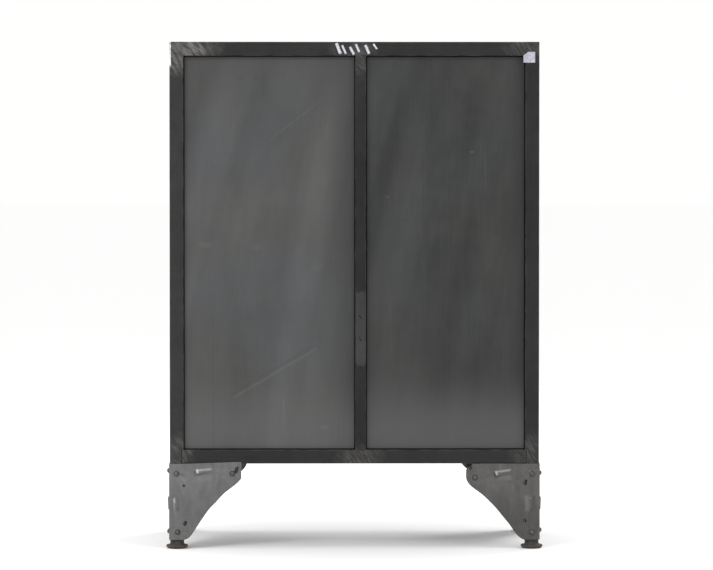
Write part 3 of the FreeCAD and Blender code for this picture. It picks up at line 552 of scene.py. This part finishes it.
def small_steel(name, base, warm, seed, rough=(0.4, 0.58), metal=0.8, scale=1.0, rust=0.3, turned=False, spread=14):
    """Small turned, cast or pressed parts: fine grain, rubbed high spots, a little rust."""
    g = Graph(name)
    off = (seed * 1.7, seed * 2.3, seed * 0.9)
    big = g.noise(g.map(loc=off), 40 * scale, 4, 0.55, 0.4)
    mid = g.noise(g.map(loc=off), 190 * scale, 5, 0.62, 0.2)
    fine = g.noise(g.map(loc=off), 900, 3, 0.75)
    ring = g.noise(g.map(scale=(4, 4, 1500) if turned else (300, 300, 30), loc=off), 1.0, 2, 0.6)
    tone = g.step(g.total(g.mul(big, 0.42), g.mul(mid, 0.3), g.mul(fine, 0.12), g.mul(ring, 0.16)), 0.36, 0.64, smooth=False)
    col = g.mix(tone, grey(base - spread, warm), grey(base + spread, warm * 0.5))
    if rust:
        ox = g.step(g.noise(g.map(loc=(off[2], off[0], 1.3)), 120 * scale, 6, 0.7, 0.4), 0.50, 0.68)
        col = g.mix(g.mul(ox, rust), col, (srgb(base + 16), srgb(base - 4), srgb(base - 26)))
    worn = g.mul(edges(g, 0.95, 0.75), g.step(mid, 0.42, 0.6))
    col = g.mix(g.mul(worn, 0.25), col, grey(min(250, base + 60), warm))
    r = g.fit(g.add(g.mul(mid, 0.6), g.mul(fine, 0.4)), 0.3, 0.7, *rough)
    height = g.total(g.mul(mid, 0.7), g.mul(fine, 0.4), g.mul(ring, 0.3))
    return g.finish(col, r, metal, g.bump(height, 0.0004, 0.45), Specular_IOR_Level=0.4)


def foot_rust(name, seed):
    """Cast foot with an even, mottled brown rust and patches of redder oxide."""
    g = Graph(name)
    off = (seed * 1.7, seed * 2.3, seed * 0.9)
    a = g.noise(g.map(loc=off), 90, 5, 0.65, 0.4)
    b = g.noise(g.map(loc=off), 480, 4, 0.7)
    c = g.noise(g.map(loc=(off[1], 0, off[2])), 34, 3, 0.5)
    t = g.step(g.total(g.mul(a, 0.45), g.mul(b, 0.3), g.mul(c, 0.25)), 0.36, 0.64, smooth=False)
    col = g.mix(t, (srgb(50), srgb(46), srgb(41)), (srgb(80), srgb(73), srgb(66)))
    ox = g.step(a, 0.56, 0.7)
    col = g.mix(g.mul(ox, 0.5), col, (srgb(104), srgb(72), srgb(50)))
    r = g.fit(b, 0.3, 0.7, 0.7, 0.9)
    return g.finish(col, r, 0.25, g.bump(g.add(g.mul(a, 0.6), g.mul(b, 0.6)), 0.0007, 0.6))


def rubber_mat(name):
    g = Graph(name)
    a = g.noise(g.p, 160, 4, 0.6)
    b = g.noise(g.p, 900, 3, 0.7)
    col = g.mix(g.add(g.mul(a, 0.6), g.mul(b, 0.4)), grey(22), grey(48))
    return g.finish(col, g.fit(b, 0.3, 0.7, 0.75, 0.95), 0.0, g.bump(b, 0.0004, 0.5))


def paper_mat(name):
    """Blank sticker paper, faintly soiled, with a few creases."""
    g = Graph(name)
    a = g.noise(g.p, 140, 4, 0.6)
    b = g.noise(g.p, 1300, 4, 0.7)
    crease = g.voronoi(g.map(loc=(0.3, 0, 0.1)), 70, "DISTANCE_TO_EDGE")
    fold = g.step(crease, 0.05, 0.015)
    col = g.mix(g.step(a, 0.35, 0.65), (srgb(150), srgb(150), srgb(160)), (srgb(176), srgb(176), srgb(186)))
    # the creases are painted a little darker and cooler: painted shade in the folds
    col = g.mix(g.mul(fold, 0.45), col, (srgb(150), srgb(148), srgb(168)))
    col = g.mix(g.mul(g.step(b, 0.6, 0.72), 0.3), col, (srgb(140), srgb(136), srgb(140)))
    return g.finish(col, g.fit(b, 0.3, 0.7, 0.8, 0.95), 0.0, g.bump(g.add(g.mul(fold, -0.6), g.mul(b, 0.4)), 0.0004, 0.6))


def give(mat, *names):
    for n in names:
        NODES[n].data.materials.clear()
        NODES[n].data.materials.append(mat)


give(frame_steel("post_steel", "z", 52, 6, 1, patches=True), "post_rear_right")
# The -X post gets a darker base than the +X post: painted shade for the light that falls from the +X side.
give(frame_steel("post_steel_left", "z", 44, 6, 2, patches=True), "post_rear_left")
give(frame_steel("post_steel_front", "z", 48, 7, 3), "post_front_left", "post_front_right")
give(frame_steel("post_steel_centre", "z", 41, 6, 4, patches=True, centre=True), "post_rear_centre")
give(frame_steel("rail_steel_top", "x", 45, 6, 5, patches=True, dashes=True), "rail_rear_top")
give(frame_steel("rail_steel_bottom", "x", 46, 6, 6, patches=True), "rail_rear_bottom")
give(frame_steel("rail_steel_front", "x", 47, 7, 7), "rail_front_top", "rail_front_bottom")
give(frame_steel("rail_steel_side", "y", 47, 7, 8), "rail_left_top", "rail_left_bottom", "rail_right_top", "rail_right_bottom")
give(frame_steel("cap_steel", "x", 60, 9, 9, patches=True), "post_caps")
give(panel_steel("panel_steel_wide", 81, 1, gradient=left_gradient, marks=left_marks, lean=18), "panel_rear_right")
# The narrow -X panel gets a darker base than the wide +X panel: painted shade for the light that falls from the +X
# side.
give(panel_steel("panel_steel_narrow", 64, 2, gradient=right_gradient, marks=right_marks, lean=-14), "panel_rear_left")
give(panel_steel("panel_steel_side", 78, 3, plane="yz", lean=10), "panel_side_left", "panel_side_right")
give(panel_steel("panel_steel_flat", 76, 4, plane="xy", lean=40, grain="x"), "panel_top", "panel_bottom")
give(panel_steel("panel_steel_door", 76, 5, lean=8), "door_left_panel", "door_right_panel")
give(panel_steel("shelf_steel", 82, 6, plane="xy", lean=60, grain="x"), "shelf_lower", "shelf_upper")
give(frame_steel("door_steel", "z", 50, 7, 10), "door_left_hinge_stile", "door_left_meeting_stile", "door_right_hinge_stile", "door_right_meeting_stile")
give(frame_steel("door_rail_steel", "x", 50, 7, 11), "door_left_rails", "door_right_rails")
give(frame_steel("bracket_steel", "y", 58, 9, 12), "shelf_cleats", "leg_cleats", "door_stops", "bolt_keeper")
# Both rear legs: painted highlights along the crests of their darts and painted shade in the hollows beside them.
give(leg_steel("leg_steel_right", 100, 0.004, 1, painted_crest_highlights=(
    (L(1, 66, 14.5), L(1, 95, 12.0), 0.0042, 165, 0.55),
    (L(1, 63.5, 14.5), L(1, 65, 19.0), 0.0038, 205, 0.75),
    (L(1, 12.0, 81.0), L(1, 12.5, 87.0), 0.0042, 175, 0.65),
    (L(1, 12.0, 88.0), L(1, 13.0, 105.0), 0.0032, 138, 0.45),
    (L(1, 62.0, 36.0), L(1, 92.0, 34.0), 0.0090, 122, 0.35),
    (L(1, 28.0, 30.0), L(1, 36.0, 41.0), 0.0030, 132, 0.45),
), painted_hollow_shade=(
    (L(1, 57.5, 19.0), L(1, 60.0, 26.0), 0.0045, 74, 0.5),
    (L(1, 66.0, 25.0), L(1, 96.0, 20.5), 0.0040, 80, 0.35),
    (L(1, 21.5, 84.0), L(1, 21.5, 106.0), 0.0040, 78, 0.4),
    (L(1, 22.0, 22.0), L(1, 33.0, 27.0), 0.0040, 72, 0.35),
)), "leg_rear_right")
# The -X leg gets a darker base than the +X leg: painted shade for the light that falls from the +X side.
give(leg_steel("leg_steel_left", 84, 0.045, 2, darker_low=0.35, painted_crest_highlights=(
    (L(-1, 99, 18.5), L(-1, 69, 14.5), 0.0038, 165, 0.60),
    (L(-1, 100, 19.0), L(-1, 98, 24.0), 0.0038, 190, 0.65),
    (L(-1, 92, 33.0), L(-1, 70, 33.0), 0.0090, 112, 0.40),
    (L(-1, 30, 78.0), L(-1, 28, 102.0), 0.0095, 116, 0.50),
    (L(-1, 23, 17.0), L(-1, 22, 22.0), 0.0036, 130, 0.40),
), painted_hollow_shade=(
    (L(-1, 14, 78.0), L(-1, 16, 104.0), 0.0075, 66, 0.45),
    (L(-1, 104, 21.0), L(-1, 101, 28.0), 0.0040, 62, 0.45),
    (L(-1, 46, 34.0), L(-1, 40, 44.0), 0.0060, 68, 0.30),
)), "leg_rear_left")
give(leg_steel("leg_steel_front", 98, 0.01, 3), "leg_front_left", "leg_front_right")
give(small_steel("rivet_steel", 80, 0.015, 1, (0.28, 0.42), 0.9, rust=0.25), "leg_rivets")
give(foot_rust("foot_iron", 1), *["foot_pad_" + c for c in ("rear_left", "rear_right", "front_left", "front_right")])
give(small_steel("foot_steel", 60, 0.07, 2, (0.5, 0.7), 0.6, rust=0.45, turned=True, spread=8), "foot_nuts", *["foot_stem_" + c for c in ("rear_left", "rear_right", "front_left", "front_right")])
give(small_steel("hinge_steel", 74, 0.0, 3, turned=True), "hinge_leaves_fixed", "hinge_leaves_door_left", "hinge_leaves_door_right", "hinge_pins")
give(small_steel("handle_iron", 52, 0.01, 4, (0.42, 0.62), 0.7, rust=0.15), "handle", "handle_escutcheon")
give(small_steel("latch_steel", 112, 0.0, 5, (0.32, 0.5), 0.85, rust=0.25), "latch_tongue", "latch_strike", "bolt_guides", "bolt_rod")
give(rubber_mat("rubber"), "door_bumpers")
give(paper_mat("label_paper"), "label")


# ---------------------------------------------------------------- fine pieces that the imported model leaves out
rng = random.Random(7)


def piece(name, bm, mat, body, stands_for=()):
    me = bpy.data.meshes.new(name)
    bmesh.ops.recalc_face_normals(bm, faces=bm.faces[:])
    bm.to_mesh(me)
    bm.free()
    for f in me.polygons:
        f.use_smooth = True
    me.materials.append(mat)
    o = bpy.data.objects.new(name, me)
    scene.collection.objects.link(o)
    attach(o, body)
    if stands_for:
        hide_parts(*stands_for)
    return o


def weld(bm, a, b, r, pitch=0.0022):
    """A weld bead from a to b: a round run with ripples, a little uneven, its ends drawn in."""
    a, b = Vector(a), Vector(b)
    d = (b - a)
    length = d.length
    d.normalize()
    side = d.cross(Vector((0, 0, 1)) if abs(d.z) < 0.9 else Vector((1, 0, 0))).normalized()
    up = d.cross(side).normalized()
    n = max(8, int(length / (pitch / 4)))
    k = 10
    rings = []
    ph = rng.random() * 6.28
    for i in range(n + 1):
        t = i / n
        s = t * length
        end = min(1.0, math.sqrt(max(0.0, min(s, length - s) / (r * 1.1))) + 0.08)
        ripple = 0.86 + 0.14 * abs(math.sin(math.pi * s / pitch + ph))
        wob = 1.0 + 0.16 * mnoise.noise(Vector((s * 260, a.x * 40, a.z * 40)))
        c = a + d * s + side * (0.00025 * mnoise.noise(Vector((s * 180, 7.0, a.z * 30))))
        rr = r * end * ripple * wob
        rings.append([bm.verts.new(c + side * (rr * math.cos(2 * math.pi * j / k)) + up * (rr * math.sin(2 * math.pi * j / k))) for j in range(k)])
    for p, q in zip(rings, rings[1:]):
        for j in range(k):
            bm.faces.new((p[j], p[(j + 1) % k], q[(j + 1) % k], q[j]))
    bm.faces.new(rings[0])
    bm.faces.new(rings[-1])


def screw(bm, at, out, r=0.0036, h=0.0017, turn=0.0, slot=True):
    """A small domed screw head (or rivet, without the slot) that stands on a face at a point, looking along out."""
    at, out = Vector(at), Vector(out).normalized()
    u = out.cross(Vector((0, 0, 1)) if abs(out.z) < 0.9 else Vector((1, 0, 0))).normalized()
    w = out.cross(u)
    u, w = u * math.cos(turn) + w * math.sin(turn), w * math.cos(turn) - u * math.sin(turn)
    k, rows = 40, []
    rim = [(1.0, 0.0), (1.0, 0.28), (0.97, 0.42)] + [(math.cos(a), 0.42 + 0.58 * math.sin(a)) for a in [math.radians(x) for x in (22, 32, 42, 50, 58, 65, 71, 77, 83)]]
    for fr, fh in rim:
        row = []
        for j in range(k):
            a = 2 * math.pi * j / k
            x, y = fr * math.cos(a), fr * math.sin(a)
            z = fh
            if slot and abs(y) < 0.17 and fh > 0.3:
                z = 0.34
            row.append(bm.verts.new(at + u * (x * r) + w * (y * r) + out * (z * h)))
        rows.append(row)
    for p, q in zip(rows, rows[1:]):
        for j in range(k):
            bm.faces.new((p[j], p[(j + 1) % k], q[(j + 1) % k], q[j]))
    mid = bm.verts.new(at + out * ((0.34 if slot else 1.0) * h))
    for j in range(k):
        bm.faces.new((rows[-1][j], rows[-1][(j + 1) % k], mid))
    bm.faces.new(rows[0])


def weld_mat(name, base=58):
    """Weld metal: ripples already in the shape; straw and blue heat tint over a soot-dark mottled grey."""
    g = Graph(name)
    a = g.noise(g.p, 240, 4, 0.65)
    b = g.noise(g.p, 1100, 3, 0.75)
    c = g.noise(g.map(loc=(2, 1, 0)), 60, 3, 0.5)
    col = g.mix(g.step(a, 0.36, 0.64), grey(base - 16), grey(base + 22))
    col = g.mix(g.mul(g.step(c, 0.5, 0.62), 0.4), col, (srgb(84), srgb(70), srgb(48)))
    col = g.mix(g.mul(g.step(c, 0.46, 0.36), 0.3), col, (srgb(44), srgb(50), srgb(66)))
    return g.finish(col, g.fit(b, 0.3, 0.7, 0.34, 0.56), 0.85, g.bump(g.add(g.mul(a, 0.5), g.mul(b, 0.5)), 0.0004, 0.5))


WELD = weld_mat("weld_metal")
WELD_DARK = weld_mat("weld_metal_dark", 34)
HEAD = small_steel("screw_steel", 96, 0.0, 21, (0.3, 0.48), 0.85, rust=0.3, scale=1.6)

# two tack welds beside the rear centre post
bm = bmesh.new()
seam_y = hi("panel_rear_right").y
mx = hi("post_rear_centre").x
for z in (0.6696, 0.6560):
    weld(bm, (mx + 0.0004, seam_y + 0.0006, z - 0.0026), (mx + 0.0004, seam_y + 0.0006, z + 0.0026), 0.0021)
piece("tacks_rear", bm, WELD_DARK, "root")

# stitch welds inside, where the flanges of the panels meet the frame
bm = bmesh.new()
for n, cx in (("panel_rear_left", lo("panel_rear_left").x), ("panel_rear_left", hi("panel_rear_left").x), ("panel_rear_right", lo("panel_rear_right").x), ("panel_rear_right", hi("panel_rear_right").x)):
    yy = lo(n).y
    z = Z_FLOOR + 0.07
    while z < Z_ROOF - 0.08:
        if all(abs(z + 0.011 - c) > 0.045 for c in (0.490, 0.790)):
            weld(bm, (cx, yy - 0.0002, z), (cx, yy - 0.0002, z + 0.022), 0.0019)
        z += 0.118
for n, sx in (("panel_side_left", -1), ("panel_side_right", 1)):
    xx = hi(n).x if sx < 0 else lo(n).x
    y = Y_MID - 0.12
    while y < Y_MID + 0.12:
        for zz in (Z_FLOOR, Z_ROOF):
            weld(bm, (xx, y, zz), (xx, y + 0.022, zz), 0.0019)
        y += 0.075
piece("stitch_welds", bm, WELD, "root")

# hinge welds: along the top and bottom of every leaf
def leaf_boxes(node):
    """The boxes of a node's separate solids, grouped by side and by height band."""
    me = NODES[node].data
    parent = list(range(len(me.vertices)))

    def root_of(i):
        while parent[i] != i:
            parent[i] = parent[parent[i]]
            i = parent[i]
        return i

    for e in me.edges:
        a, b = root_of(e.vertices[0]), root_of(e.vertices[1])
        if a != b:
            parent[a] = b
    spans = {}
    for v in me.vertices:
        k = (round(v.co.x > 0), round((v.co.z - 0.300) / 0.334))
        lo_, hi_ = spans.setdefault(k, ([9, 9, 9], [-9, -9, -9]))
        for i in range(3):
            lo_[i] = min(lo_[i], v.co[i])
            hi_[i] = max(hi_[i], v.co[i])
    return list(spans.values())


for node, body in (("hinge_leaves_fixed", "root"), ("hinge_leaves_door_left", "door_left"), ("hinge_leaves_door_right", "door_right")):
    bm = bmesh.new()
    for a, b in leaf_boxes(node):
        outward = 1 if (a[0] + b[0]) > 0 else -1
        if node == "hinge_leaves_fixed":
            x0, x1 = sorted((outward * (abs(a[0] if outward > 0 else b[0]) + 0.014), outward * (abs(b[0] if outward > 0 else a[0]) - 0.003)))
        else:
            far, near = sorted((abs(a[0]), abs(b[0])))
            x0, x1 = sorted((outward * (far + 0.003), outward * (near - 0.014)))
        for z in (a[2], b[2]):
            weld(bm, (x0, Y_FRONT - 0.0002, z), (x1, Y_FRONT - 0.0002, z), 0.0016)
    piece("hinge_welds_" + body, bm, WELD, body)

# screw heads: escutcheon, bolt guides and strike
bm = bmesh.new()
e0, e1 = lo("handle_escutcheon"), hi("handle_escutcheon")
for dz, t in ((0.0155, 0.4), (-0.0155, 1.2)):
    screw(bm, ((e0.x + e1.x) / 2, e0.y + 0.00005, (e0.z + e1.z) / 2 + dz), (0, -1, 0), 0.0026, 0.0014, t)
piece("escutcheon_screws", bm, HEAD, "door_right")

bm = bmesh.new()
g0, g1 = lo("bolt_guides"), hi("bolt_guides")
plate_y = g0.y + 0.003
for z in (0.975, 1.085):
    for dx, t in ((-0.0098, 0.3), (0.0098, 2.0)):
        screw(bm, ((g0.x + g1.x) / 2 + dx, plate_y, z), (0, 1, 0), 0.0017, 0.0010, t)
s0, s1 = lo("latch_strike"), hi("latch_strike")
for dz, t in ((0.014, 0.9), (-0.014, 2.4)):
    screw(bm, ((s0.x + s1.x) / 2, s1.y, (s0.z + s1.z) / 2 + dz), (0, 1, 0), 0.0030, 0.0004, t)
piece("latch_screws", bm, HEAD, "door_left")


def torn_label():
    """A small blank sticker on the post: torn across one corner, slightly lifted there, with soft waves."""
    a, b = lo("label"), hi("label")
    w, h = b.x - a.x, b.z - a.z
    bm = bmesh.new()
    n, m = 46, 50
    y0 = Y_BACK + 0.00005

    def cut(u, v):
        """How far a point lies inside the torn corner (the -X side is cut low; the tear runs at the +X top)."""
        ragged = 0.030 * mnoise.noise(Vector((u * 11, v * 11, 2.0))) + 0.014 * mnoise.noise(Vector((u * 37, v * 37, 5.0)))
        return (u - 0.60) / 0.40 + (v - 0.66) / 0.34 - 1.0 + ragged * 3

    front, back = {}, {}
    for i in range(n + 1):
        for j in range(m + 1):
            u, v = i / n, j / m
            edge = 0.006 * mnoise.noise(Vector((v * 9, 1.0, 3.0)))
            uu = u + (edge if i in (0, n) else 0)
            vv = v + (0.008 * mnoise.noise(Vector((u * 9, 4.0, 1.0))) if j in (0, m) else 0) - (0.035 * u * (1 - u) * 2 if j == 0 and 0.35 < u < 0.75 else 0)
            uu, vv = min(max(uu, 0.0), 1.0), min(max(vv, 0.0), 1.0)
            d = cut(u, v)
            lift = 0.0013 * max(0.0, 1.0 + d * 1.7) ** 2
            wave = 0.00012 * (1 + mnoise.noise(Vector((u * 4, v * 4, 9.0))))
            curl = 0.0008 * max(0.0, (0.06 - v) / 0.06) * (0.5 + 0.5 * math.sin(u * 9)) + 0.0005 * max(0.0, (0.05 - u) / 0.05)
            p = (a.x + w * uu, y0 + 0.00012 + lift + wave + curl, a.z + h * vv)
            front[i, j] = bm.verts.new(p)
            back[i, j] = bm.verts.new((p[0], p[1] - 0.00011, p[2]))
    cells = {(i, j) for i in range(n) for j in range(m) if cut((i + 0.5) / n, (j + 0.5) / m) < 0}
    for i, j in cells:
        bm.faces.new((front[i, j], front[i + 1, j], front[i + 1, j + 1], front[i, j + 1]))
        bm.faces.new((back[i, j], back[i, j + 1], back[i + 1, j + 1], back[i + 1, j]))
        for (di, dj), (p, q) in (((-1, 0), ((i, j), (i, j + 1))), ((1, 0), ((i + 1, j + 1), (i + 1, j))), ((0, -1), ((i + 1, j), (i, j))), ((0, 1), ((i, j + 1), (i + 1, j + 1)))):
            if (i + di, j + dj) not in cells:
                bm.faces.new((front[p], front[q], back[q], back[p]))
    bmesh.ops.delete(bm, geom=[v for v in bm.verts if not v.link_faces], context="VERTS")
    return piece("label_torn", bm, paper_mat("label_sticker"), "root", ("label",))


torn_label()


# ---------------------------------------------------------------- stage: a wide pale floor, soft light
def floor():
    bm = bmesh.new()
    rim = [bm.verts.new((60 * math.cos(2 * math.pi * i / 96), 60 * math.sin(2 * math.pi * i / 96), 0.0)) for i in range(96)]
    bm.faces.new(rim)
    me = bpy.data.meshes.new("studio_floor")
    bm.to_mesh(me)
    bm.free()
    o = bpy.data.objects.new("studio_floor", me)
    scene.collection.objects.link(o)
    g = Graph("studio_paper")
    n = g.noise(g.p, 3.0, 3)
    o.data.materials.append(g.finish(g.mix(n, (0.975, 0.975, 0.975), (0.99, 0.99, 0.99)), 0.9, 0.0, Specular_IOR_Level=0.2))
    return o


floor()
world = bpy.data.worlds.new("world")
scene.world = world
world.use_nodes = True
bg = world.node_tree.nodes["Background"]
bg.inputs[0].default_value = (1.0, 1.0, 0.995, 1)
bg.inputs[1].default_value = 1.0


def area(name, at, to, size, power, colour=(1, 1, 1)):
    d = bpy.data.lights.new(name, "AREA")
    d.shape = "RECTANGLE"
    d.size, d.size_y = size
    d.energy = power
    d.color = colour
    o = bpy.data.objects.new(name, d)
    o.location = at
    o.rotation_euler = (Vector(to) - Vector(at)).to_track_quat("-Z", "Y").to_euler()
    scene.collection.objects.link(o)
    return o


area("key", (2.6, 3.4, 3.1), (0, 0.2, 0.6), (1.8, 1.8), 74)
area("fill", (-3.2, 3.6, 2.0), (0, 0.2, 0.5), (2.2, 2.2), 23)
area("front_key", (-2.4, -3.0, 2.8), (0, -0.2, 0.6), (2.0, 2.0), 64)
area("top", (0, 0, 4.2), (0, 0, 0), (3.0, 3.0), 32)
